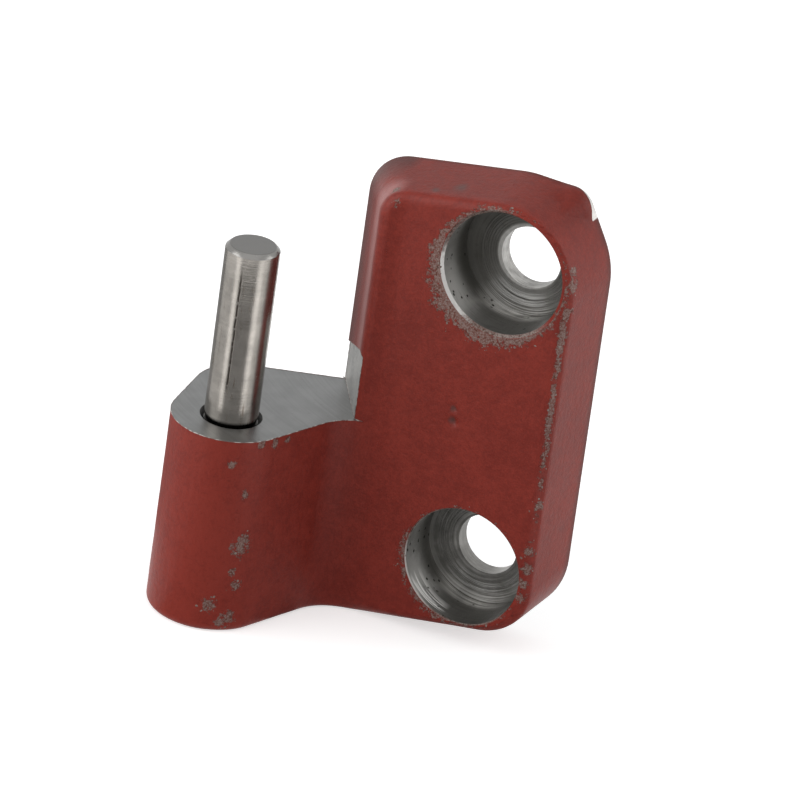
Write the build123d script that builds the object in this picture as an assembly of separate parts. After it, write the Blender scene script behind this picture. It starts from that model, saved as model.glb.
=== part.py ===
# Pin half of a tractor door hinge: a cast bracket that bolts to the cab's pillar, and the pin pressed into it.
# The frame: origin on the pin's axis at the milled seat, +Z up along the pin, +X towards the plate,
# +Y back towards the pillar. All sizes are in millimetres, all angles in degrees.

import os
from math import cos, radians, sin, tan

from build123d import *

# Pin
pin_diameter = 11.95  # running diameter, for the door's half
pin_length = 41.0  # from the seat to the pin's top
pin_chamfer = 1.0
shank_diameter = 12.0  # pressed part, inside the knuckle
shank_recess = 0.6  # the shank's end stays this far inside the knuckle's foot
shank_chamfer = 0.5
undercut_depth = 0.3  # neck between the ground part and the pressed one
undercut_rise = 0.3  # the neck's top, above the seat
bore_mouth_chamfer = 0.9

# Knuckle
knuckle_height = 46.5
boss_radius = 13.2  # nose of the knuckle, round the pin
boss_flare = 0.35  # the nose widens towards the foot
outer_lean = 6.0  # the knuckle's outer side leans out towards the pillar
web_angle = 69.0  # slope of the web's front where it leaves the nose
web_radius = 11.0  # concave sweep from the web into the plate's front
flare_depth = 2.75  # how far the plate's front follows that sweep forward, above the seat
web_back_slope = 22.5  # the web's back falls away from the mounting face
web_back_x = 13.5  # where that slope starts, at the mounting face
back_corner_radius = 12.0

# Plate
front_face_y = 17.0
plate_thickness = 16.5
plate_left_x = 11.0  # at the mounting face
plate_right_x = 69.8  # at the mounting face, level with the seat
plate_corner_z = 54.7  # at the mounting face, where the left and top lines would cross
top_slope = 10.1  # the top edge rises towards the right
bottom_slope = 10.5  # the front's bottom edge rises towards the right
bottom_back_slope = 8.0  # the mounting face's bottom edge rises less
side_draft = 8.5  # casting draft on the top and right sides
left_slope = 31.5  # the left side slopes much more
right_lean = 0.5  # the right side leans in towards the top
top_left_radius = 11.0
top_right_radius = 20.0
bottom_right_radius = 17.0
corner_narrowing = 6.0  # the left and lower corners get this much sharper towards the front
front_edge_radius = 2.5
foot_edge_radius = 1.5

# Bolt holes
bolt_x = 52.2
lower_bolt_z = -26.3
bolt_pitch = 70.0
bolt_hole_diameter = 14.0  # clearance for M12
counterbore_diameter = 27.2  # room for the socket on the bolt's head
counterbore_shift = 0.5  # the counterbore stands off the hole's axis, to the left
counterbore_depth = 12.5
upper_mouth_chamfer = 0.7
lower_mouth_chamfer = 0.3

# Strip that the seat's cutter skims off the plate's sloped side
relief_back_height = 9.0  # at the mounting face
relief_front_height = 17.0
relief_depth = 0.4
relief_corner_radius = 4.0

# Lip at the mounting face's upper right corner, and the swelling in front of it
lip_x = 58.0
lip_z = 55.6
lip_radius = 5.5
lip_thickness = 1.5
swelling_depth = 8.0
swelling_tip_radius = 0.8

cut_overrun = 5.0  # how far a cutting shape runs past the metal
front_cut_height = 140.0  # cuts in the plate's front reach past its top and its foot
pick_margin = 0.05  # for telling edges apart by where they are

mounting_face_y = front_face_y + plate_thickness
upper_bolt_z = lower_bolt_z + bolt_pitch
foot_radius = boss_radius + knuckle_height * tan(radians(boss_flare))


def turned(length, angle):
    """Vector of that length in a plane, at that angle from its first axis."""
    return Vector(length * cos(radians(angle)), length * sin(radians(angle)))


def crossing(point_a, angle_a, point_b, angle_b):
    """Where two lines in a plane cross, each given by a point and an angle."""
    along_a = turned(1, angle_a)
    along_b = turned(1, angle_b)
    gap = point_b - point_a
    share = (gap.X * along_b.Y - gap.Y * along_b.X) / (along_a.X * along_b.Y - along_a.Y * along_b.X)
    return point_a + along_a * share


def sweep_centre(nose_radius):
    """Centre of the concave sweep that leads from the web into the plate's front."""
    leave = turned(nose_radius, web_angle - 90)
    centre_y = front_face_y - web_radius
    run = (web_radius + (centre_y - leave.Y) * cos(radians(web_angle))) / sin(radians(web_angle))
    return Vector(leave.X + run, centre_y)


def knuckle_section(nose_radius):
    """Plan of the knuckle and web: round nose, S-shaped front, sloped back, closed inside the plate."""
    outer_angle = 90 + outer_lean
    nose_outer = turned(nose_radius, outer_angle + 90)
    nose_middle = turned(nose_radius, (outer_angle + web_angle) / 2 + 180)
    nose_inner = turned(nose_radius, web_angle - 90)
    centre = sweep_centre(nose_radius)
    sweep_start = centre + turned(web_radius, web_angle + 90)
    sweep_middle = centre + turned(web_radius, web_angle / 2 + 90)
    sweep_end = centre + turned(web_radius, 90)
    closing = Vector(sweep_end.X, mounting_face_y)
    back_start = Vector(web_back_x, mounting_face_y)
    back_corner = crossing(nose_outer, outer_angle, back_start, web_back_slope)
    with BuildSketch() as plan:
        with BuildLine():
            ThreePointArc(nose_outer, nose_middle, nose_inner)
            Line(nose_inner, sweep_start)
            ThreePointArc(sweep_start, sweep_middle, sweep_end)
            Polyline(sweep_end, closing, back_start, back_corner, nose_outer)
        make_face()
        fillet(plan.vertices().sort_by_distance(back_corner)[0], back_corner_radius)
    return plan.sketch


def make_knuckle():
    """Nose and web, widening a little towards the foot."""
    foot = Pos(0, 0, -knuckle_height) * knuckle_section(foot_radius)
    seat = knuckle_section(boss_radius)
    return loft([foot.face(), seat.face()], ruled=True)


def plate_section(y, bottom_angle, narrowing):
    """The plate's outline at one depth, from the mounting face towards the front."""
    depth = mounting_face_y - y
    inset = depth * tan(radians(side_draft))
    left = plate_left_x + depth * tan(radians(left_slope))
    right = plate_right_x - inset
    top_point = Vector(plate_left_x, plate_corner_z - inset / cos(radians(top_slope)))
    foot_end = Vector(sweep_centre(foot_radius).X, -knuckle_height)
    foot_left = Vector(left, -knuckle_height)
    top_left = crossing(top_point, top_slope, foot_left, 90)
    side_angle = 90 + right_lean
    top_right = crossing(top_point, top_slope, Vector(right, 0), side_angle)
    bottom_right = crossing(foot_end, bottom_angle, Vector(right, 0), side_angle)
    plane = Plane((0, y, 0), x_dir=(1, 0, 0), z_dir=(0, -1, 0))
    rounding = (
        (top_left, top_left_radius - narrowing),
        (top_right, top_right_radius - inset),
        (bottom_right, bottom_right_radius - narrowing),
    )
    with BuildSketch(plane) as outline:
        with BuildLine():
            Polyline(foot_left, foot_end, bottom_right, top_right, top_left, close=True)
        make_face()
        for place, radius in rounding:
            fillet(outline.vertices().sort_by_distance(place)[0], radius)
    return outline.sketch.face()


def make_plate():
    """Drafted plate. Its front is flat, and flares forward into the web's sweep along the left edge."""
    flare_y = front_face_y - flare_depth
    back = plate_section(mounting_face_y, bottom_back_slope, 0)
    flare = plate_section(flare_y, bottom_slope, corner_narrowing)
    blank = loft([back, flare], ruled=True)
    centre = sweep_centre(boss_radius)
    width = plate_right_x + cut_overrun
    corner = (Align.MIN, Align.MAX, Align.MIN)
    below_seat = Pos(0, front_face_y, -front_cut_height) * Box(width, web_radius, front_cut_height, align=corner)
    above_seat = Pos(centre.X, front_face_y) * Box(width, web_radius, front_cut_height, align=corner)
    upward = (Align.CENTER, Align.CENTER, Align.MIN)
    sweep = Pos(centre.X, centre.Y) * Cylinder(web_radius, front_cut_height, align=upward)
    return blank - below_seat - above_seat - sweep


def bolt_hole(z, mouth_chamfer):
    """Cutting shape of one counterbored hole, from in front of the plate to behind it."""
    into_plate = Plane((bolt_x, front_face_y, z), x_dir=(1, 0, 0), z_dir=(0, 1, 0))
    upward = (Align.CENTER, Align.CENTER, Align.MIN)
    bore_radius = counterbore_diameter / 2
    hole = Cylinder(bolt_hole_diameter / 2, plate_thickness + cut_overrun, align=upward)
    bore = Pos(0, 0, -cut_overrun) * Cylinder(bore_radius, counterbore_depth + cut_overrun, align=upward)
    mouth = Cone(bore_radius + mouth_chamfer, bore_radius, mouth_chamfer, align=upward)
    return into_plate * (hole + Pos(-counterbore_shift) * (bore + mouth))


def seat_relief():
    """Cutting shape of the skimmed strip, laid on the plate's sloped side."""
    slope_length = (plate_thickness + flare_depth) / cos(radians(left_slope))
    away = Vector(sin(radians(left_slope)), -cos(radians(left_slope)), 0)
    out = Vector(-cos(radians(left_slope)), -sin(radians(left_slope)), 0)
    plane = Plane((plate_left_x, mounting_face_y, 0), x_dir=away, z_dir=out)
    rise = (relief_front_height - relief_back_height) / slope_length
    back_top = Vector(-cut_overrun, relief_back_height - cut_overrun * rise)
    front_top = Vector(slope_length, relief_front_height)
    front_foot = Vector(slope_length, 0)
    with BuildPart() as cutter:
        with BuildSketch(plane.offset(-relief_depth)) as strip:
            with BuildLine():
                Polyline(Vector(-cut_overrun, 0), front_foot, front_top, back_top, close=True)
            make_face()
            fillet(strip.vertices().sort_by_distance(front_top)[0], relief_corner_radius)
        extrude(amount=relief_depth + cut_overrun)
    return cutter.part


def pin_bore():
    """Cutting shape of the pin's bore, with its mouth opened up at the seat."""
    bore = Pos(0, 0, -knuckle_height - cut_overrun) * Cylinder(
        shank_diameter / 2, knuckle_height + 2 * cut_overrun, align=(Align.CENTER, Align.CENTER, Align.MIN)
    )
    mouth = Cone(
        shank_diameter / 2,
        shank_diameter / 2 + bore_mouth_chamfer,
        bore_mouth_chamfer,
        align=(Align.CENTER, Align.CENTER, Align.MAX),
    )
    return bore + mouth


def corner_lip():
    """Round lip that stands out past the plate's upper right corner, and tapers into it towards the front."""
    place = Plane((lip_x, mounting_face_y, lip_z), x_dir=(1, 0, 0), z_dir=(0, -1, 0))
    upward = (Align.CENTER, Align.CENTER, Align.MIN)
    lip = Cylinder(lip_radius, lip_thickness, align=upward)
    swelling = Cone(lip_radius, swelling_tip_radius, swelling_depth, align=upward)
    return place * (lip + Pos(0, 0, lip_thickness) * swelling)


def is_front_edge(edge):
    """True for the edges round the plate's front, which run up, across and down from the web."""
    box = edge.bounding_box()
    if box.max.Y > front_face_y + pick_margin or box.size.Z < pick_margin:
        return False
    foot_x = sweep_centre(foot_radius).X
    seat_x = sweep_centre(boss_radius).X
    if box.min.X > min(foot_x, seat_x) - pick_margin and box.max.X < max(foot_x, seat_x) + pick_margin:
        return False
    return box.min.Z > -pick_margin or box.min.X > foot_x - pick_margin


def is_foot_edge(edge):
    """True for the edges round the knuckle's foot, outside the plate."""
    box = edge.bounding_box()
    if box.max.Z > pick_margin - knuckle_height or box.max.X > sweep_centre(foot_radius).X + pick_margin:
        return False
    return box.min.X < plate_left_x or box.max.Y < front_face_y + pick_margin


def make_bracket():
    """Plate and knuckle cast in one, edges rounded, then drilled and milled."""
    body = make_plate() + make_knuckle()
    body = fillet(body.edges().filter_by(is_front_edge), front_edge_radius)
    body = fillet(body.edges().filter_by(is_foot_edge), foot_edge_radius) + corner_lip()
    holes = bolt_hole(upper_bolt_z, upper_mouth_chamfer) + bolt_hole(lower_bolt_z, lower_mouth_chamfer)
    return body - holes - pin_bore() - seat_relief()


def make_pin():
    """Plain pin: ground above the seat, necked in the bore's mouth, pressed into the knuckle below it."""
    upward = (Align.CENTER, Align.CENTER, Align.MIN)
    ground_radius = pin_diameter / 2
    neck_foot = -bore_mouth_chamfer
    shank_foot = shank_recess - knuckle_height
    ground = Cylinder(ground_radius, pin_length - undercut_rise, align=upward)
    ground = chamfer(ground.edges().sort_by(Axis.Z)[-1], pin_chamfer)
    neck = Cylinder(ground_radius - undercut_depth, undercut_rise - neck_foot, align=upward)
    shank = Cylinder(shank_diameter / 2, neck_foot - shank_foot, align=upward)
    shank = chamfer(shank.edges().sort_by(Axis.Z)[0], shank_chamfer)
    return Pos(0, 0, undercut_rise) * ground + Pos(0, 0, neck_foot) * neck + Pos(0, 0, shank_foot) * shank


os.makedirs("parts", exist_ok=True)
export_step(make_bracket(), "parts/hinge_bracket.step")
export_step(make_pin(), "parts/hinge_pin.step")
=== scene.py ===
import math

import bmesh
import bpy
from mathutils import Matrix, Vector, noise


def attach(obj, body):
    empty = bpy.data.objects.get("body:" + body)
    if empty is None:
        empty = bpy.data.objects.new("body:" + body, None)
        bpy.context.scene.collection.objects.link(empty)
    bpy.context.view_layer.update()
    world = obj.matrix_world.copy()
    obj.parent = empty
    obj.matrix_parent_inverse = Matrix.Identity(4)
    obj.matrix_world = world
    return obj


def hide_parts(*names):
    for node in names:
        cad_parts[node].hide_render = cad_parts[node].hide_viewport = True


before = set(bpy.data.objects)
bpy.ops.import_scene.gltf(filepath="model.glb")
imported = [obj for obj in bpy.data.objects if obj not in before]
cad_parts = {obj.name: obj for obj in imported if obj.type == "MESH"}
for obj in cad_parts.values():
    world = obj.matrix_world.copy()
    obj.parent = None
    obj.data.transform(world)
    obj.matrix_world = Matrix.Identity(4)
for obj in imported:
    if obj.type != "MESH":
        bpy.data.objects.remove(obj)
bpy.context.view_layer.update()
scene = bpy.context.scene
mm = 0.001
print("frame loaded, nodes:", sorted(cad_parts))


# one socket in a node tree; maths on it adds Math nodes
class Wire:
    def __init__(self, tree, socket=None):
        self.tree = tree
        self.socket = socket

    def node(self, kind, settings=None, sockets=None, out=0):
        made = self.tree.nodes.new(kind)
        for name, value in (settings or {}).items():
            setattr(made, name, value)
        for key, value in (sockets or {}).items():
            if isinstance(value, Wire):
                self.tree.links.new(value.socket, made.inputs[key])
            else:
                made.inputs[key].default_value = value
        return Wire(self.tree, made.outputs[out] if len(made.outputs) else None)

    def other(self, out):
        return Wire(self.tree, self.socket.node.outputs[out])

    def maths(self, operation, first, second=0.0):
        return self.node("ShaderNodeMath", {"operation": operation}, {0: first, 1: second})

    def __add__(self, other):
        return self.maths("ADD", self, other)

    def __radd__(self, other):
        return self.maths("ADD", other, self)

    def __sub__(self, other):
        return self.maths("SUBTRACT", self, other)

    def __rsub__(self, other):
        return self.maths("SUBTRACT", other, self)

    def __mul__(self, other):
        return self.maths("MULTIPLY", self, other)

    def __rmul__(self, other):
        return self.maths("MULTIPLY", other, self)

    def __truediv__(self, other):
        return self.maths("DIVIDE", self, other)

    def __pow__(self, other):
        return self.maths("POWER", self, other)

    def least(self, other):
        return self.maths("MINIMUM", self, other)

    def most(self, other):
        return self.maths("MAXIMUM", self, other)

    def size(self):
        return self.maths("ABSOLUTE", self)

    def rise(self, low, high):  # 0 below low, 1 above high, smooth between
        settings = {"interpolation_type": "SMOOTHSTEP"}
        return self.node("ShaderNodeMapRange", settings, {"Value": self, "From Min": low, "From Max": high})

    def fall(self, low, high):
        return 1.0 - self.rise(low, high)

    def blend(self, first, second):  # colours, by this factor
        return self.node("ShaderNodeMix", {"data_type": "RGBA"}, {0: self, 6: first, 7: second}, 2)


def grey(value):
    return (value, value, value, 1.0)


# material tools

def openMaterial(name):
    material = bpy.data.materials.new(name)
    material.use_nodes = True
    material.node_tree.nodes.clear()
    return material, Wire(material.node_tree)


def closeMaterial(wire, sockets):
    shader = wire.node("ShaderNodeBsdfPrincipled", None, sockets)
    wire.node("ShaderNodeOutputMaterial", None, {"Surface": shader})


def place(wire):  # position on the piece, in millimetres
    spot = wire.node("ShaderNodeTexCoord", None, None, "Object")
    return wire.node("ShaderNodeVectorMath", {"operation": "SCALE"}, {0: spot, "Scale": 1000.0})


def split(vector):
    parts = vector.node("ShaderNodeSeparateXYZ", None, {0: vector})
    return parts, parts.other(1), parts.other(2)


def joined(x, y, z):
    wire = next(part for part in (x, y, z) if isinstance(part, Wire))
    return wire.node("ShaderNodeCombineXYZ", None, {0: x, 1: y, 2: z})


def cloud(where, scale, detail=2.0, roughness=0.5):
    sockets = {"Vector": where, "Scale": scale, "Detail": detail, "Roughness": roughness}
    return where.node("ShaderNodeTexNoise", {"noise_dimensions": "3D"}, sockets)


def cells(where, scale):
    return where.node("ShaderNodeTexVoronoi", None, {"Vector": where, "Scale": scale})


def fromAxis(a, b, centreA, centreB):  # distance from an axis
    return ((a - centreA) ** 2.0 + (b - centreB) ** 2.0) ** 0.5


def fromPoint(x, y, z, pointX, pointY, pointZ):  # distance from a point
    return ((x - pointX) ** 2.0 + (y - pointY) ** 2.0 + (z - pointZ) ** 2.0) ** 0.5


def bumped(wire, height, distance):
    return wire.node("ShaderNodeBump", None, {"Strength": 1.0, "Distance": distance, "Height": height})


# the casting's sizes in millimetres, in the part's own frame
casting = {
    "frontY": 17.0,
    "backY": 33.5,
    "boreX": 51.7,
    "upperZ": 43.7,
    "lowerZ": -26.3,
    "boreRadius": 13.6,
    "holeRim": 7.2,
    "floorY": 29.5,
    "footZ": -46.5,
    "slopeX": 11.0,
    "slopeAngle": 31.5,
    "stripDepth": 0.4,
    "stripBackZ": 9.0,
    "stripRise": 0.354,
    "lipX": 58.0,
    "lipZ": 55.6,
    "rightEdgeX": 66.7,
    "rightLean": 0.0087,
}

# each counterbore's mouth: its height, how far the tool ran off and cut wide, its chamfer,
# and the chipped fringe round it
mouths = (
    {"z": casting["upperZ"], "pushX": -0.9, "pushZ": 0.0, "growth": 0.3, "chamfer": 0.7,
     "reach": 2.2, "spread": 4.2, "chipped": 0.86, "bright": 1.0},
    {"z": casting["lowerZ"], "pushX": 0.0, "pushZ": -0.65, "growth": 0.0, "chamfer": 0.3,
     "reach": 1.4, "spread": 2.0, "chipped": 0.56, "bright": 0.70},
)


def mouthPlace(mouth, x, z, left, down):  # distance from its axis, and how far round towards a direction
    acrossX = x - (casting["boreX"] + mouth["pushX"])
    acrossZ = z - (mouth["z"] + mouth["pushZ"])
    out = (acrossX ** 2.0 + acrossZ ** 2.0) ** 0.5
    return out, (acrossX * -left + acrossZ * -down) / out


def rimOf(mouth):
    return casting["boreRadius"] + mouth["growth"] + mouth["chamfer"]


# where the paint is chipped or rubbed, 0 to 1, at a place in millimetres
wear = {
    "frontFade": (0.4, 2.4),  # how far behind the front the wear ends
    "fringe": (0.66, 0.75),  # left and down, where the fringe round a mouth is widest
    "edgeReach": 1.5,
    "edgeHeights": (-15.0, 30.0),  # the rub along the right edge grows between these
    "edgeLeast": 0.42,
    "edgeMore": 0.40,
    "spotSpread": 1.6,
    "spots": (  # x, y, z and size
        (10.0, -8.8, -25.7, 2.6), (10.4, -8.4, -23.6, 1.8), (10.2, -8.7, -34.9, 1.6), (9.2, -9.6, -31.6, 1.2),
        (5.9, -12.0, -39.9, 1.9), (9.7, -9.3, -42.8, 2.0), (8.2, -10.6, -43.9, 1.6), (9.7, -9.1, -12.7, 1.2),
        (6.7, -11.4, -5.5, 1.2), (11.1, -7.1, -0.6, 1.3), (12.7, -3.7, -1.4, 1.4), (14.1, -0.1, -1.4, 1.1),
        (24.5, 17.6, 52.6, 1.5), (23.0, 19.2, 54.3, 1.3), (66.6, 18.8, 45.5, 1.8), (66.2, 19.6, 48.3, 1.7),
        (66.6, 17.9, 39.5, 1.7), (66.4, 17.6, 34.0, 1.6), (66.5, 17.3, -18.3, 1.5), (66.7, 17.4, -22.7, 1.8),
        (66.5, 17.3, -26.2, 1.5), (65.8, 17.0, -29.8, 1.5), (67.0, 17.8, -7.3, 1.4),
    ),
}


def wearAt(x, y, z):
    near, far = wear["frontFade"]
    onFront = y.fall(casting["frontY"] + near, casting["frontY"] + far)
    ragged = cloud(joined(x, y, z), 0.32, 3.0, 0.6) * 1.8 + 0.1
    chipped = None
    for mouth in mouths:
        out, lean = mouthPlace(mouth, x, z, *wear["fringe"])
        rim = rimOf(mouth)
        reach = (lean.most(0.0) * mouth["spread"] + mouth["reach"]) * ragged
        fringe = ((out - rim) / reach).fall(0.0, 1.0) * (lean * 0.25 + 0.75)
        ring = fringe * out.rise(rim - 0.08, rim + 0.04) * mouth["chipped"]
        chipped = ring if chipped is None else chipped.most(ring)
    edge = (x + z * casting["rightLean"] - casting["rightEdgeX"]).size()
    strength = z.rise(*wear["edgeHeights"]) * wear["edgeMore"] + wear["edgeLeast"]
    rubbed = edge.fall(0.0, wear["edgeReach"]) * strength
    patches = cloud(joined(x, y, z), 0.16, 2.0).rise(0.36, 0.60)
    spots = None
    for spotX, spotY, spotZ, size in wear["spots"]:
        mark = fromPoint(x, y, z, spotX, spotY, spotZ).fall(0.0, size * wear["spotSpread"])
        spots = mark if spots is None else spots.most(mark)
    return chipped * onFront, rubbed * onFront * patches, spots


# brick red paint on the cast skin
paint = {
    "deep": (0.176, 0.0180, 0.0112, 1.0),
    "fresh": (0.242, 0.0275, 0.0168, 1.0),
    "dust": (0.30, 0.10, 0.08, 1.0),
    "sheen": (0.42, 0.21, 0.20, 1.0),
    "paintedShade": (0.045, 0.012, 0.010, 1.0),
    "smudgeAndDentShade": (0.070, 0.050, 0.046, 1.0),
    "primer": (0.145, 0.080, 0.066, 1.0),
    "bare": (0.255, 0.210, 0.187, 1.0),
    "rust": (0.085, 0.040, 0.028, 1.0),
    "bright": (0.60, 0.585, 0.565, 1.0),
    "smudgesAndDentShade": (  # x, y, z and size; the last two are painted shade in the dents
        (36.4, 23.3, 57.7, 2.6), (31.5, 20.5, 56.6, 1.4), (44.2, 17.2, 9.5, 1.0), (44.4, 17.3, 6.5, 1.3),
    ),
    "smudgeAndShadeShare": 0.6,
    "dustShare": 0.16,
    "backShare": 0.55,  # painted shade along the mounting face's edge
    "leftShare": 0.80,  # painted shade on the sloped left side, darker towards the back
    "topShare": 0.22,
    "wornShare": 0.80,
    "crescent": (0.90, 0.44),  # left and down, where a mouth's chamfer is rubbed bright
    "relief": 0.00012,
}


def paintedCast():
    material, wire = openMaterial("brickPaint")
    spot = place(wire)
    x, y, z = split(spot)
    broad = cloud(spot, 0.07, 3.0)
    patchy = cloud(spot, 0.30, 3.0, 0.6)
    skin = cloud(spot, 0.95, 2.0)
    peel = cloud(spot, 2.4, 3.0, 0.6)
    tone = broad * 0.22 + patchy * 0.28 + skin * 0.22 + peel * 0.28
    tone = tone + x.rise(-10.0, 2.0) * x.fall(7.0, 16.0) * 0.08  # painted light: lighter on the knuckle's front
    tone = tone.rise(0.38, 0.62)
    colour = tone.blend(paint["deep"], paint["fresh"])
    dust = cloud(spot, 1.7, 4.0, 0.7).rise(0.58, 0.78) * paint["dustShare"]
    colour = dust.blend(colour, paint["dust"])
    front = casting["frontY"]
    back = casting["backY"]
    # painted shade: darker along the mounting face's edge, towards the back of the left slope, and on the top
    backShade = y.rise(back - 2.2, back - 0.1) * paint["backShare"]
    leftShade = y.rise(front + 4.0, back) * x.fall(20.0, 25.0) * paint["leftShare"]
    topShade = z.rise(53.0, 57.0) * y.rise(front + 1.0, front + 4.0) * paint["topShare"]
    colour = backShade.most(leftShade).most(topShade).blend(colour, paint["paintedShade"])
    # painted highlight: a pale band along the left slope's front edge
    leftSheen = y.rise(17.6, 18.8) * y.fall(20.0, 25.0) * x.fall(22.0, 26.0) * z.rise(8.0, 16.0)
    colour = (leftSheen * (patchy * 0.5 + 0.3)).blend(colour, paint["sheen"])
    # dark marks: the first two are stains on the top, the last two are painted shade in the two dents
    for markX, markY, markZ, size in paint["smudgesAndDentShade"]:
        away = fromPoint(x, y, z, markX, markY, markZ) + patchy * 2.0 - 1.0
        colour = (away.fall(0.0, size) * paint["smudgeAndShadeShare"]).blend(colour, paint["smudgeAndDentShade"])
    chipped, rubbed, spots = wearAt(x, y, z)
    ragged = cloud(spot, 0.9, 5.0, 0.75)
    amount = chipped.most(rubbed).most(spots * 0.8)
    worn = (ragged + amount * 0.44 - 0.70).rise(-0.03, 0.06) * amount.rise(0.02, 0.12)
    under = cloud(spot, 2.6, 3.0, 0.7).rise(0.40, 0.60).blend(paint["primer"], paint["bare"])
    under = cloud(spot, 1.6, 3.0).rise(0.54, 0.66).blend(under, paint["rust"])
    colour = (worn * paint["wornShare"]).blend(colour, under)
    # bright sliver along the lip, wider towards its lower end
    lipOut = fromAxis(x, z, casting["lipX"], casting["lipZ"])
    along = (x - casting["lipX"]) * 0.7 - (z - casting["lipZ"]) * 0.7
    width = (along * 0.22 + 0.75).most(0.0).least(1.7) + patchy * 0.3 - 0.15
    bright = (y + width - back).rise(0.0, 0.12) * lipOut.rise(3.6, 4.0) * lipOut.fall(6.4, 6.8)
    bright = bright * along.rise(-3.4, -2.6) * along.fall(4.3, 4.6)
    # bright crescent on the lower left of each mouth's chamfer
    for mouth in mouths:
        out, lean = mouthPlace(mouth, x, z, *paint["crescent"])
        rim = rimOf(mouth)
        chamfer = out.fall(rim - 0.06, rim) * y.rise(front + 0.03, front + 0.10)
        colour = (chamfer * lean.rise(-0.6, -0.2)).blend(colour, under)
        bright = bright.most(chamfer * (lean + ragged * 0.4 - 0.2).rise(0.72, 0.94) * mouth["bright"])
    colour = bright.blend(colour, paint["bright"])
    height = skin * 0.55 + peel * 0.45 - worn * 0.6
    closeMaterial(wire, {
        "Base Color": colour,
        "Metallic": bright * 0.5 + worn * 0.15,
        "Roughness": peel * 0.10 + patchy * 0.10 + worn * 0.12 + 0.32,
        "Specular IOR Level": 0.22,
        "Normal": bumped(wire, height, paint["relief"]),
    })
    return material


# bare steel inside the bolt holes
bored = {
    "dark": (0.230, 0.225, 0.214, 1.0),
    "pale": (0.500, 0.490, 0.470, 1.0),
    "glintColour": (0.95, 0.94, 0.92, 1.0),
    "paintedShade": (0.075, 0.072, 0.064, 1.0),
    "pit": (0.035, 0.032, 0.028, 1.0),
    "between": (8.0, 9.0),  # height that parts the two bores
    "holeEdge": (7.0, 7.3),
    "wallEdge": (12.6, 13.4),
    "floorShare": 0.38,  # painted shade on the floors
    "upperShare": 0.47,  # more of it on the upper one
    "lowShare": 0.22,  # less low down on the upper one
    "wallShare": 0.72,
    "footShare": 0.78,
    "holeShare": 0.55,
    "glint": 0.36,
    "upperGlint": 0.12,
    "relief": 0.00006,
}


def boredSteel():
    material, wire = openMaterial("boredSteel")
    spot = place(wire)
    x, y, z = split(spot)
    isUpper = z.rise(*bored["between"])
    acrossX = x - casting["boreX"]
    acrossZ = z - isUpper * (casting["upperZ"] - casting["lowerZ"]) - casting["lowerZ"]
    out = (acrossX ** 2.0 + acrossZ ** 2.0) ** 0.5
    rightward = acrossX / out
    upward = acrossZ / out
    onFloor = y.rise(casting["floorY"] - 0.15, casting["floorY"] - 0.05)
    onWall = out.rise(*bored["wallEdge"])
    turning = joined(out * 3.2, y * 3.2, x * 0.06 + z * 0.06)  # stretched round the axis
    lines = cloud(turning, 1.0, 3.0, 0.6)
    fineLines = cloud(joined(out * 9.0, y * 9.0, x * 0.1), 1.0, 2.0)
    stain = cloud(spot, 0.22, 3.0, 0.6)
    # painted light: each bore's wall is lighter on its left side and a little towards the top
    pale = lines * 0.45 + stain * 0.55 + onWall * (rightward * -0.22 + upward * 0.04)
    colour = pale.rise(0.36, 0.66).blend(bored["dark"], bored["pale"])
    low = rightward * -0.10 - upward * 0.995  # 1 at the foot of a bore
    upperShade = bored["upperShare"] - low.rise(0.4, 1.0) * bored["lowShare"]
    floorShade = (isUpper * upperShade + bored["floorShare"]) * onFloor * out.rise(7.2, 7.8)
    wallShade = y.rise(20.0, 28.0) * onWall * (1.0 - onFloor) * low.fall(0.75, 1.0) * bored["wallShare"]
    footShade = upward.fall(-0.95, -0.70) * onWall * y.fall(25.0, 27.0) * bored["footShare"]
    holeShade = out.fall(*bored["holeEdge"]) * (1.0 - isUpper) * bored["holeShare"]
    # painted shade in the bores: darker on the floors, deep on the walls, at the foot and in the lower hole
    shade = floorShade.most(wallShade).most(footShade).most(holeShade)
    colour = shade.blend(colour, bored["paintedShade"])
    # painted highlight low on the floor and on the lower bore's wall
    floorGlint = low.rise(0.70, 1.0) * y.rise(26.0, 27.5) * out.rise(7.6, 9.6) * lines.rise(0.40, 0.60)
    floorGlint = floorGlint * (isUpper * bored["upperGlint"] + bored["glint"])
    wallGlint = (rightward * -0.60 - upward * 0.80).rise(0.90, 0.98) * onWall * y.fall(20.0, 24.0)
    streaks = cloud(joined(out, y * 1.1, z * 0.05), 1.0, 2.0).rise(0.46, 0.54)
    wallGlint = wallGlint * streaks * (1.0 - isUpper)
    colour = floorGlint.most(wallGlint).blend(colour, bored["glintColour"])
    pits = cells(spot, 0.55).fall(0.14, 0.24) * cloud(spot, 0.3, 2.0).rise(0.48, 0.56)
    pits = pits * (1.0 - onFloor * 0.85)
    colour = pits.blend(colour, bored["pit"])
    height = lines * 0.7 + fineLines * 0.3 - pits
    closeMaterial(wire, {
        "Base Color": colour,
        "Metallic": 1.0,
        "Roughness": lines * 0.16 + stain * 0.16 + onFloor * 0.04 + 0.27,
        "Normal": bumped(wire, height, bored["relief"]),
    })
    return material


# milled and ground faces of the casting
milled = {
    "seat": ((0.175, 0.177, 0.176, 1.0), (0.225, 0.228, 0.226, 1.0)),
    "strip": ((0.50, 0.495, 0.478, 1.0), (0.70, 0.690, 0.665, 1.0)),
    "stain": (0.11, 0.100, 0.088, 1.0),
    "gap": (0.040, 0.038, 0.035, 1.0),
    "cutterX": 46.0,  # centre of the cutter's arcs
    "cutterY": 70.0,
    "gapEdge": (7.3, 7.5),
    "relief": 0.00004,
}


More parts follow.
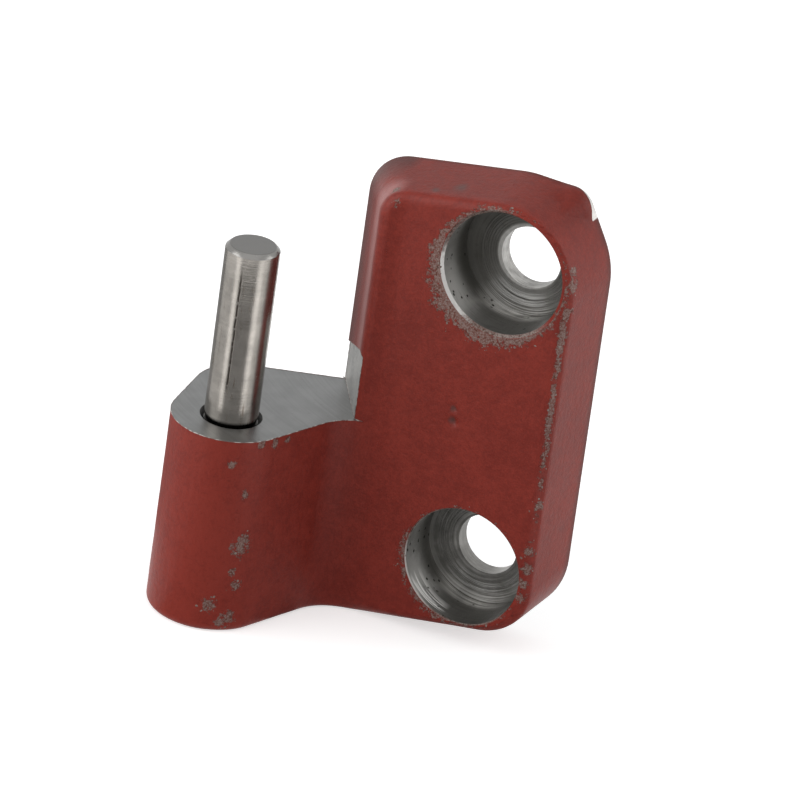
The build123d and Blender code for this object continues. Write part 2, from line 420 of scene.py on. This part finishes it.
def milledSteel(name, dark, pale):
    material, wire = openMaterial(name)
    spot = place(wire)
    x, y, z = split(spot)
    sweep = fromAxis(x, y, milled["cutterX"], milled["cutterY"])  # arcs left by a large cutter
    cut = cloud(joined(sweep * 1.8, z * 1.8, x * 0.05), 1.0, 3.0, 0.6)
    fine = cloud(joined(sweep * 7.0, z * 7.0, x * 0.08), 1.0, 2.0)
    soft = cloud(spot, 0.16, 3.0)
    colour = (cut * 0.5 + soft * 0.5).rise(0.35, 0.65).blend(dark, pale)
    spots = cloud(spot, 0.55, 4.0, 0.65).rise(0.62, 0.76) * 0.5
    colour = spots.blend(colour, milled["stain"])
    foot = casting["footZ"]
    inGap = fromAxis(x, y, 0.0, 0.0).fall(*milled["gapEdge"])  # painted shade round the pin, in the bore's mouth
    inGap = inGap * z.fall(-0.06, -0.01) * z.rise(foot + 0.1, foot + 0.2)
    colour = inGap.blend(colour, milled["gap"])
    closeMaterial(wire, {
        "Base Color": colour,
        "Metallic": 1.0,
        "Roughness": cut * 0.14 + soft * 0.10 + 0.26,
        "Normal": bumped(wire, cut * 0.6 + fine * 0.4, milled["relief"]),
    })
    return material


# ground steel of the pin
ground = {
    "dark": (0.315, 0.294, 0.268, 1.0),
    "pale": (0.408, 0.381, 0.348, 1.0),
    "stain": (0.17, 0.135, 0.105, 1.0),
    "scratch": (0.045, 0.038, 0.032, 1.0),
    "end": (0.158, 0.155, 0.149, 1.0),
    "chamfer": (0.230, 0.224, 0.214, 1.0),
    "radius": 5.975,
    "endZ": 40.9,
    "chamferZ": 39.95,
    "scratchAngle": -82.6,
    "relief": 0.00002,
}


def groundSteel():
    material, wire = openMaterial("groundSteel")
    spot = place(wire)
    x, y, z = split(spot)
    grinding = cloud(joined(x * 0.12, y * 0.12, z * 5.0), 1.0, 3.0, 0.6)
    streak = cloud(joined(x * 0.9, y * 0.9, z * 0.07), 1.0, 3.0, 0.6)
    soft = cloud(spot, 0.25, 2.0)
    colour = (grinding * 0.3 + soft * 0.7).rise(0.35, 0.65).blend(ground["dark"], ground["pale"])
    stain = streak.rise(0.54, 0.72) * cloud(spot, 0.4, 4.0, 0.7).rise(0.42, 0.60) * 0.8
    colour = stain.blend(colour, ground["stain"])
    around = (x.maths("ARCTAN2", y, x) - math.radians(ground["scratchAngle"])) * ground["radius"]
    wander = cloud(joined(0.0, 0.0, z * 0.35), 1.0, 3.0) * 1.2 - 0.6
    broken = cloud(joined(0.0, 3.0, z * 0.8), 1.0, 3.0).rise(0.32, 0.48)
    broken = broken * z.rise(7.0, 10.0) * z.fall(34.0, 39.0)
    scratch = (around + wander * 0.5).size().fall(0.08, 0.34) * broken
    colour = scratch.blend(colour, ground["scratch"])
    colour = z.rise(ground["chamferZ"], ground["chamferZ"] + 0.15).blend(colour, ground["chamfer"])
    onEnd = z.rise(ground["endZ"], ground["endZ"] + 0.05)
    colour = onEnd.blend(colour, ground["end"])
    # painted shade at the pin's foot, where it goes into the seat
    colour = z.fall(0.2, 1.2).blend(colour, milled["gap"])
    closeMaterial(wire, {
        "Base Color": colour,
        "Metallic": 1.0,
        "Roughness": grinding * 0.08 + stain * 0.15 + scratch * 0.3 + onEnd * 0.10 + 0.17,
        "Normal": bumped(wire, grinding - scratch, ground["relief"]),
    })
    return material


materials = [
    paintedCast(),
    boredSteel(),
    milledSteel("milledSteel", *milled["seat"]),
    milledSteel("skimmedSteel", *milled["strip"]),
]
pinSteel = groundSteel()
paintZone, boredZone, milledZone, skimmedZone = range(4)
print("materials made")


def addPiece(name, mesh):
    piece = bpy.data.objects.new(name, mesh)
    scene.collection.objects.link(piece)
    return piece


def takeUp(piece, node=None):  # the piece joins the part
    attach(piece, "root")
    if node:
        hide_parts(node)


# which finish a face of the casting has
def zoneOf(face):
    x, y, z = face.calc_center_median() / mm
    normal = face.normal
    if normal.y > 0.99 and y > casting["backY"] - 0.1:
        return milledZone
    if normal.z > 0.99 and abs(z) < 0.05:
        return milledZone
    if math.hypot(x, y) < 7.2 and z < 0.05:
        return milledZone
    for centreZ in (casting["upperZ"], casting["lowerZ"]):
        inward = Vector((casting["boreX"] - x, 0.0, centreZ - z))
        inRim = inward.length < casting["boreRadius"] + 1.0 and y > casting["frontY"] + 0.02
        if inRim and normal.y > -0.3 and inward.dot(normal) > 0.0:
            return boredZone
        if inRim and y > casting["floorY"] - 0.1:
            return boredZone
    slope = math.radians(casting["slopeAngle"])
    depth = (x - casting["slopeX"]) * math.cos(slope) + (y - casting["backY"]) * math.sin(slope)
    along = (x - casting["slopeX"]) * math.sin(slope) - (y - casting["backY"]) * math.cos(slope)
    top = casting["stripBackZ"] + casting["stripRise"] * along
    outward = -normal.x * math.cos(slope) - normal.y * math.sin(slope)
    if 0.05 < depth < casting["stripDepth"] + 0.05 and -0.05 < z < top + 0.1:
        if normal.z < -0.3 or (outward > 0.995 and depth > casting["stripDepth"] - 0.05):
            return skimmedZone
    return paintZone


# the casting's skin, in millimetres
skin = {
    "edge": 1.8,  # longest triangle side
    "lump": 0.05,  # height of the cast skin's broad waves
    "lumpPitch": 7.0,
    "ripple": 0.018,
    "ripplePitch": 2.4,
    "sharp": 26.0,  # edges sharper than this stay crisp
    "swellingReach": 14.0,
    "boreMargin": 2.6,  # the filling stays this far from the upper bore
    "fillPasses": 40,
    "fillShare": 0.6,
    "mouthFade": 4.5,
    "dents": ((44.4, 9.4, 0.80, 0.36), (44.7, 6.3, 0.95, 0.58)),  # x, z, radius and depth
    "dentEdge": 0.28,
}


def refine(shape, longest, wanted=None):  # everywhere, or where a vertex is wanted
    for _ in range(8):
        longEdges = [edge for edge in shape.edges if edge.calc_length() > longest * mm]
        if wanted:
            longEdges = [edge for edge in longEdges if wanted(edge.verts[0])]
        if not longEdges:
            break
        bmesh.ops.subdivide_edges(shape, edges=longEdges, cuts=1)
        bmesh.ops.triangulate(shape, faces=[face for face in shape.faces if len(face.verts) > 3])


def onSwelling(vertex):
    x, y, z = vertex.co / mm
    nearLip = math.hypot(x - casting["lipX"], z - casting["lipZ"]) < skin["swellingReach"]
    fromBore = math.hypot(x - casting["boreX"], z - casting["upperZ"])
    clearOfBore = fromBore > casting["boreRadius"] + skin["boreMargin"]
    return nearLip and clearOfBore and y > casting["frontY"] + 1.0


def fillSwelling(shape):  # the hollows round the lip's swelling fill up, so it runs out into the plate
    back = (casting["backY"] - 0.05) * mm
    swelling = [vertex for vertex in shape.verts if onSwelling(vertex)]
    side = [vertex for vertex in swelling if vertex.co.y < back]
    behind = [vertex for vertex in swelling if vertex.co.y > back]
    rim = [vertex for vertex in behind if any(face.normal.y < 0.9 for face in vertex.link_faces)]
    onRim = set(rim)
    for vertex in side:
        for edge in vertex.link_edges:
            if edge.other_vert(vertex).co.y < back:
                edge.smooth = True
    for _ in range(skin["fillPasses"]):
        shape.normal_update()
        moves = []
        for vertex in side + rim:
            joinedTo = [edge.other_vert(vertex) for edge in vertex.link_edges]
            outward = vertex.normal
            if vertex in onRim:
                joinedTo = [other for other in joinedTo if other in onRim]
                outward = Vector((outward.x, 0.0, outward.z)).normalized()
            if joinedTo:
                mean = sum((other.co for other in joinedTo), Vector()) / len(joinedTo)
                moves.append((vertex, outward * max((mean - vertex.co).dot(outward), 0.0)))
        for vertex, move in moves:
            vertex.co += move * skin["fillShare"]


def pushMouths(shape):  # each counterbore runs off a little, as the tool did
    for mouth in mouths:
        rim = casting["boreRadius"] + mouth["chamfer"] + 0.05
        for vertex in shape.verts:
            x, y, z = vertex.co / mm
            away = Vector((x - casting["boreX"], 0.0, z - mouth["z"]))
            share = 0.0
            if away.length < rim and y < casting["floorY"] + 0.05:
                share = (away.length - casting["holeRim"]) / (casting["boreRadius"] - casting["holeRim"])
            elif abs(y - casting["frontY"]) < 0.1:
                share = 1.0 - (away.length - rim) / skin["mouthFade"]
            share = min(max(share, 0.0), 1.0)
            if share > 0.0:
                push = Vector((mouth["pushX"], 0.0, mouth["pushZ"])) + away.normalized() * mouth["growth"]
                vertex.co += push * share * mm


def makeBracket():
    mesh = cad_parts["hinge_bracket"].data.copy()
    mesh.materials.clear()
    for material in materials:
        mesh.materials.append(material)
    shape = bmesh.new()
    shape.from_mesh(mesh)
    bmesh.ops.remove_doubles(shape, verts=shape.verts, dist=1e-6)
    shape.normal_update()
    for face in shape.faces:
        face.material_index = zoneOf(face)
        face.smooth = True
    for edge in shape.edges:
        turn = edge.calc_face_angle(math.pi)
        edge.smooth = turn < math.radians(skin["sharp"])
    refine(shape, skin["edge"])
    fillSwelling(shape)
    pushMouths(shape)
    for dentX, dentZ, radius, depth in skin["dents"]:
        centre = Vector((dentX, casting["frontY"], dentZ)) * mm
        refine(shape, skin["dentEdge"], lambda vertex: (vertex.co - centre).length < radius * 2.6 * mm)
        for vertex in shape.verts:
            away = (vertex.co - centre).length / mm
            if away < radius * 3.0:
                vertex.co.y += depth * math.exp(-(away / radius) ** 2.0) * mm
    shape.normal_update()
    for vertex in shape.verts:
        if all(face.material_index == paintZone for face in vertex.link_faces):
            at = vertex.co / mm
            wave = noise.noise(at / skin["lumpPitch"]) * skin["lump"]
            wave += noise.noise(at / skin["ripplePitch"] + Vector((9.0, 4.0, 2.0))) * skin["ripple"]
            vertex.co += vertex.normal * wave * mm
    shape.to_mesh(mesh)
    shape.free()
    return addPiece("castBracket", mesh)


bracket = makeBracket()
takeUp(bracket, "hinge_bracket")
print("bracket:", len(bracket.data.polygons), "faces")


# pin profile, radius and height in millimetres
pin = {
    "profile": (
        (5.5, -45.9), (6.0, -45.4), (6.0, -0.9), (5.675, -0.9), (5.675, 0.3), (5.93, 0.3), (5.975, 0.36),
        (5.975, 12.0), (5.975, 26.0), (5.975, 39.9), (5.94, 40.1), (5.10, 40.93), (4.93, 41.0),
    ),
    "segments": 128,
    "sharp": 30.0,
}


def makePin():
    shape = bmesh.new()
    hoops = []
    for radius, height in pin["profile"]:
        hoop = []
        for index in range(pin["segments"]):
            angle = 2.0 * math.pi * index / pin["segments"]
            corner = (radius * math.cos(angle) * mm, radius * math.sin(angle) * mm, height * mm)
            hoop.append(shape.verts.new(corner))
        hoops.append(hoop)
    for low, high in zip(hoops, hoops[1:]):
        for index in range(pin["segments"]):
            after = (index + 1) % pin["segments"]
            shape.faces.new((low[index], low[after], high[after], high[index]))
    shape.faces.new(reversed(hoops[0]))
    shape.faces.new(hoops[-1])
    bmesh.ops.recalc_face_normals(shape, faces=shape.faces)
    for face in shape.faces:
        face.smooth = len(face.verts) == 4
    for edge in shape.edges:
        edge.smooth = edge.calc_face_angle(math.pi) < math.radians(pin["sharp"])
    mesh = bpy.data.meshes.new("groundPin")
    shape.to_mesh(mesh)
    shape.free()
    mesh.materials.append(pinSteel)
    return addPiece("groundPin", mesh)


pinPiece = makePin()
takeUp(pinPiece, "hinge_pin")
print("pin made")


# geometry node tools

def openTree(name, inputs):
    tree = bpy.data.node_groups.new(name, "GeometryNodeTree")
    tree.interface.new_socket("Geometry", in_out="INPUT", socket_type="NodeSocketGeometry")
    for label, kind in inputs.items():
        tree.interface.new_socket(label, in_out="INPUT", socket_type="NodeSocket" + kind)
    tree.interface.new_socket("Geometry", in_out="OUTPUT", socket_type="NodeSocketGeometry")
    wire = Wire(tree)
    return tree, wire, wire.node("NodeGroupInput")


def closeTree(wire, shape, finish):
    solid = wire.node("GeometryNodeRealizeInstances", None, {"Geometry": shape})
    dressed = wire.node("GeometryNodeSetMaterial", None, {"Geometry": solid, "Material": finish})
    wire.node("NodeGroupOutput", None, {"Geometry": dressed})


def grow(name, mesh, tree, values):
    piece = addPiece(name, mesh)
    modifier = piece.modifiers.new(name, "NODES")
    modifier.node_group = tree
    for socket in tree.interface.items_tree:
        if socket.in_out == "INPUT" and socket.name in values:
            modifier[socket.identifier] = values[socket.name]
    bpy.context.view_layer.update()
    graph = bpy.context.evaluated_depsgraph_get()
    grown = bpy.data.meshes.new_from_object(piece.evaluated_get(graph))
    piece.modifiers.remove(modifier)
    piece.data = grown
    return piece


def chance(wire, low, high, seed):
    sockets = {2: low, 3: high, 8: seed}
    return wire.node("FunctionNodeRandomValue", {"data_type": "FLOAT"}, sockets, 1)


def here(wire):  # position in a geometry tree, in millimetres
    position = wire.node("GeometryNodeInputPosition")
    return wire.node("ShaderNodeVectorMath", {"operation": "SCALE"}, {0: position, "Scale": 1000.0})


# chips of primer and bare iron where the paint has broken away
chips = {
    "Density": 0.9e6,  # per square metre where the wear is full
    "Smallest": 0.08 * mm,
    "Largest": 0.40 * mm,
    "Thickness": 0.025 * mm,
    "Seed": 7,
}


def chippedIron():
    material, wire = openMaterial("chippedIron")
    spot = place(wire)
    tone = cloud(spot, 1.3, 2.0).rise(0.38, 0.62)
    colour = tone.blend(paint["primer"], paint["bare"])
    colour = cloud(spot, 0.9, 2.0).rise(0.50, 0.64).blend(colour, paint["rust"])
    closeMaterial(wire, {"Base Color": colour, "Metallic": tone * 0.3, "Roughness": tone * 0.1 + 0.42})
    return material


def makeChips():
    lengths = {"Smallest": "Float", "Largest": "Float", "Thickness": "Float"}
    inputs = {"Density": "Float"} | lengths | {"Seed": "Int", "Finish": "Material"}
    tree, wire, entry = openTree("paintChips", inputs)
    chipped, rubbed, spots = wearAt(*split(here(wire)))
    amount = chipped.most(rubbed).most(spots) ** 1.4
    painted = wire.node("GeometryNodeMaterialSelection", None, {"Material": materials[paintZone]})
    points = wire.node("GeometryNodeDistributePointsOnFaces", {"distribute_method": "RANDOM"}, {
        "Mesh": entry,
        "Selection": painted,
        "Density": entry.other("Density") * amount,
        "Seed": entry.other("Seed"),
    })
    seed = entry.other("Seed")
    angles = joined(0.0, 0.0, chance(wire, 0.0, 6.28, seed))
    twist = wire.node("FunctionNodeEulerToRotation", None, {0: angles})
    sockets = {0: points.other("Rotation"), 1: twist}
    turned = wire.node("FunctionNodeRotateRotation", {"rotation_space": "LOCAL"}, sockets)
    length = chance(wire, 0.0, 1.0, seed + 1.0) ** 2.0 * (entry.other("Largest") - entry.other("Smallest"))
    length = length + entry.other("Smallest")
    size = joined(length, length * chance(wire, 0.4, 0.95, seed + 2.0), entry.other("Thickness"))
    flake = wire.node("GeometryNodeMeshCone", None, {
        "Vertices": 7, "Radius Top": 0.6, "Radius Bottom": 1.0, "Depth": 1.0,
    })
    flakes = wire.node("GeometryNodeInstanceOnPoints", None, {
        "Points": points, "Instance": flake, "Rotation": turned, "Scale": size,
    })
    closeTree(wire, flakes, entry.other("Finish"))
    return grow("paintChips", bracket.data.copy(), tree, chips | {"Finish": chippedIron()})


chipPiece = makeChips()
takeUp(chipPiece)
print("paint chips:", len(chipPiece.data.polygons), "faces")


# burr that the cutter left along the edges of the seat and of the skimmed strip
burr = {
    "Radius": 0.085 * mm,
    "Step": 0.35 * mm,
    "Wander": 0.12 * mm,
    "dark": (0.15, 0.10, 0.09, 1.0),
    "pale": (0.52, 0.50, 0.47, 1.0),
}


def burrSteel():
    material, wire = openMaterial("burrSteel")
    spot = place(wire)
    tone = cloud(spot, 0.8, 3.0, 0.6).rise(0.44, 0.66)
    colour = tone.blend(burr["dark"], burr["pale"])
    closeMaterial(wire, {"Base Color": colour, "Metallic": tone * 0.4 + 0.3, "Roughness": tone * 0.1 + 0.34})
    return material


def cutEdges():  # lines where the seat and the strip meet the paint and each other
    shape = bmesh.new()
    shape.from_mesh(bracket.data)
    shape.verts.index_update()
    lines = []
    for edge in shape.edges:
        zones = {face.material_index for face in edge.link_faces}
        level = all(abs(vertex.co.z) < 0.05 * mm for vertex in edge.verts)
        if len(zones) == 2 and (skimmedZone in zones or level and boredZone not in zones):
            lines.append([vertex.index for vertex in edge.verts])
    used = sorted({index for line in lines for index in line})
    order = {old: new for new, old in enumerate(used)}
    shape.verts.ensure_lookup_table()
    mesh = bpy.data.meshes.new("cutEdges")
    mesh.from_pydata([shape.verts[old].co for old in used], [[order[a], order[b]] for a, b in lines], [])
    shape.free()
    return mesh


def makeBurr():
    inputs = {"Radius": "Float", "Step": "Float", "Wander": "Float", "Finish": "Material"}
    tree, wire, entry = openTree("seatBurr", inputs)
    line = wire.node("GeometryNodeMeshToCurve", None, {"Mesh": entry})
    sockets = {"Curve": line, "Length": entry.other("Step")}
    even = wire.node("GeometryNodeResampleCurve", {"mode": "LENGTH"}, sockets)
    spot = here(wire)
    lift = (cloud(spot, 0.9, 3.0) - 0.5) * entry.other("Wander")
    offset = joined(lift, lift, lift * 0.5)
    waved = wire.node("GeometryNodeSetPosition", None, {"Geometry": even, "Offset": offset})
    ragged = cloud(spot, 0.55, 4.0, 0.7).rise(0.36, 0.66) * 0.9 + 0.2
    uneven = wire.node("GeometryNodeSetCurveRadius", None, {"Curve": waved, "Radius": ragged})
    ring = wire.node("GeometryNodeCurvePrimitiveCircle", {"mode": "RADIUS"}, {
        "Resolution": 6, "Radius": entry.other("Radius"),
    })
    bead = wire.node("GeometryNodeCurveToMesh", None, {"Curve": uneven, "Profile Curve": ring})
    closeTree(wire, bead, entry.other("Finish"))
    return grow("seatBurr", cutEdges(), tree, burr | {"Finish": burrSteel()})


burrPiece = makeBurr()
takeUp(burrPiece)
print("seat burr:", len(burrPiece.data.polygons), "faces")


# turning marks on the floors of the two bores
rings = {
    "Count": 7,
    "Inner": 7.9 * mm,
    "Pitch": 0.58 * mm,
    "Height": 0.016 * mm,
    "Seed": 3,
}


def makeRings():
    lengths = {"Inner": "Float", "Pitch": "Float", "Height": "Float"}
    inputs = {"Count": "Int"} | lengths | {"Seed": "Int", "Finish": "Material"}
    tree, wire, entry = openTree("cutterRings", inputs)
    bead = 0.009  # half width, as a share of the ring's radius
    line = wire.node("GeometryNodeMeshLine", {"mode": "OFFSET"}, {
        "Count": entry.other("Count"), "Offset": (0.0, 0.0, 0.0),
    })
    step = wire.node("GeometryNodeInputIndex") + chance(wire, -0.3, 0.3, entry.other("Seed"))
    radius = step * entry.other("Pitch") + entry.other("Inner")
    circle = wire.node("GeometryNodeCurvePrimitiveCircle", {"mode": "RADIUS"}, {
        "Resolution": 120, "Radius": 1.0,
    })
    profile = wire.node("GeometryNodeCurvePrimitiveCircle", {"mode": "RADIUS"}, {
        "Resolution": 4, "Radius": bead,
    })
    ring = wire.node("GeometryNodeCurveToMesh", None, {"Curve": circle, "Profile Curve": profile})
    height = entry.other("Height") * chance(wire, 0.3, 1.0, entry.other("Seed") + 1.0) / bead
    nest = wire.node("GeometryNodeInstanceOnPoints", None, {
        "Points": line, "Instance": ring, "Scale": joined(radius, radius, height),
    })
    both = wire.node("GeometryNodeInstanceOnPoints", None, {
        "Points": entry, "Instance": nest, "Rotation": (math.pi / 2.0, 0.0, 0.0),
    })
    closeTree(wire, both, entry.other("Finish"))
    centres = [
        Vector((casting["boreX"], casting["floorY"], z)) * mm for z in (casting["upperZ"], casting["lowerZ"])
    ]
    mesh = bpy.data.meshes.new("boreCentres")
    mesh.from_pydata(centres, [], [])
    return grow("cutterRings", mesh, tree, rings | {"Finish": materials[boredZone]})


ringPiece = makeRings()
takeUp(ringPiece)
print("cutter rings:", len(ringPiece.data.polygons), "faces")


# floor, light and camera
studio = {
    "floorZ": casting["footZ"],
    "floorHalf": 4.0,  # metres
    "floorTone": 0.74,
    "floorGlow": 0.58,
    "fill": 0.50,
    "aim": (31.7, 17.0, 7.4),
    "boxes": (  # name, azimuth, elevation, distance, width, height, level
        ("leftBox", -50.0, 28.0, 0.95, 0.75, 1.0, 2.4),
        ("rightBox", 112.0, 25.0, 0.95, 0.60, 1.0, 1.7),
        ("topBox", 10.0, 80.0, 1.10, 0.80, 0.8, 0.22),
    ),
    "cards": (  # name, azimuths from and to, inner and outer radius, tone
        ("backCard", -175.0, -97.0, 40.0, 330.0, 0.34),
        ("leftCard", -97.0, -35.0, 40.0, 330.0, 0.78),
        ("leftStrip", -35.0, -17.0, 98.0, 330.0, 1.80),
        ("frontCard", -17.0, 55.0, 98.0, 330.0, 0.32),
        ("nearCard", -35.0, 116.0, 15.0, 98.0, 0.30),
        ("rightStrip", 61.0, 79.0, 98.0, 330.0, 1.80),
        ("rightCard", 79.0, 98.0, 98.0, 330.0, 1.05),
        ("farCard", 98.0, 116.0, 98.0, 330.0, 0.60),
    ),
    "cardSteps": 12,
    "cardLift": 0.5,
}


def bearing(azimuth, elevation):  # towards a lamp or the camera; azimuth from the front, to the right
    a = math.radians(azimuth)
    e = math.radians(elevation)
    return Vector((math.sin(a) * math.cos(e), -math.cos(a) * math.cos(e), math.sin(e)))


def facing(azimuth, elevation, distance):
    aim = Vector(studio["aim"]) * mm
    back = bearing(azimuth, elevation)
    return Matrix.Translation(aim + back * distance) @ back.to_track_quat("Z", "Y").to_matrix().to_4x4()


def seenDirectly(wire):  # 1 for the camera, and for what steel and glass show
    path = wire.node("ShaderNodeLightPath")
    return path.most(path.other("Is Glossy Ray")).most(path.other("Is Transmission Ray"))


def makeFloor():
    material, wire = openMaterial("paleFloor")
    seen = seenDirectly(wire)
    shade = wire.node("ShaderNodeBsdfDiffuse", None, {"Color": grey(studio["floorTone"])})
    sockets = {"Color": grey(1.0), "Strength": seen * studio["floorGlow"]}
    glow = wire.node("ShaderNodeEmission", None, sockets)
    both = wire.node("ShaderNodeAddShader", None, {0: shade, 1: glow})
    wire.node("ShaderNodeOutputMaterial", None, {"Surface": both})
    shape = bmesh.new()
    bmesh.ops.create_grid(shape, x_segments=1, y_segments=1, size=studio["floorHalf"])
    bmesh.ops.translate(shape, verts=shape.verts, vec=(0.0, 0.0, studio["floorZ"] * mm))
    mesh = bpy.data.meshes.new("paleFloor")
    shape.to_mesh(mesh)
    shape.free()
    mesh.materials.append(material)
    addPiece("paleFloor", mesh)


def makeCards():  # grey sectors on the floor round the pin, seen only in the steel and the gloss
    lift = Vector((0.0, 0.0, studio["floorZ"] + studio["cardLift"]))
    steps = studio["cardSteps"]
    for name, start, end, inner, outer, tone in studio["cards"]:
        material, wire = openMaterial(name)
        glow = wire.node("ShaderNodeEmission", None, {"Color": grey(1.0), "Strength": tone})
        wire.node("ShaderNodeOutputMaterial", None, {"Surface": glow})
        corners = []
        for step in range(steps + 1):
            ray = bearing(start + (end - start) * step / steps, 0.0)
            corners += [(ray * inner + lift) * mm, (ray * outer + lift) * mm]
        firsts = range(0, 2 * steps, 2)
        mesh = bpy.data.meshes.new(name)
        mesh.from_pydata(corners, [], [(first, first + 1, first + 3, first + 2) for first in firsts])
        mesh.materials.append(material)
        card = addPiece(name, mesh)
        card.visible_camera = False
        card.visible_diffuse = False
        card.visible_shadow = False


def makeLights():
    for name, azimuth, elevation, distance, width, height, level in studio["boxes"]:
        lamp = bpy.data.lights.new(name, "AREA")
        lamp.shape = "RECTANGLE"
        lamp.size = width
        lamp.size_y = height
        lamp.energy = level * math.pi * width * height
        box = bpy.data.objects.new(name, lamp)
        box.matrix_world = facing(azimuth, elevation, distance)
        scene.collection.objects.link(box)
    world = bpy.data.worlds.new("studioWorld")
    scene.world = world
    world.use_nodes = True
    world.node_tree.nodes.clear()
    wire = Wire(world.node_tree)
    level = seenDirectly(wire) * (1.0 - studio["fill"]) + studio["fill"]
    sky = wire.node("ShaderNodeBackground", None, {"Color": grey(1.0), "Strength": level})
    wire.node("ShaderNodeOutputWorld", None, {"Surface": sky})


# camera fitted to the photograph's outlines
view = {
    "azimuth": 21.886,
    "elevation": 25.839,
    "roll": 8.2,
    "distance": 1.41021,
    "aim": (31.744, 17.0, 7.403),
    "lens": 292.5,
    "sensor": 36.0,
}


def makeCamera():
    data = bpy.data.cameras.new("photoCamera")
    data.sensor_width = view["sensor"]
    data.lens = view["lens"]
    data.clip_end = 50.0
    back = bearing(view["azimuth"], view["elevation"])
    azimuth = math.radians(view["azimuth"])
    right = Vector((math.cos(azimuth), math.sin(azimuth), 0.0))
    up = back.cross(right)
    roll = math.radians(view["roll"])
    across = right * math.cos(roll) + up * math.sin(roll)
    upright = up * math.cos(roll) - right * math.sin(roll)
    turn = Matrix((across, upright, back)).transposed().to_4x4()
    camera = bpy.data.objects.new("photoCamera", data)
    camera.matrix_world = Matrix.Translation(Vector(view["aim"]) * mm + back * view["distance"]) @ turn
    scene.collection.objects.link(camera)
    scene.camera = camera


makeFloor()
makeCards()
makeLights()
makeCamera()
scene.view_settings.view_transform = "Standard"
print("studio set")
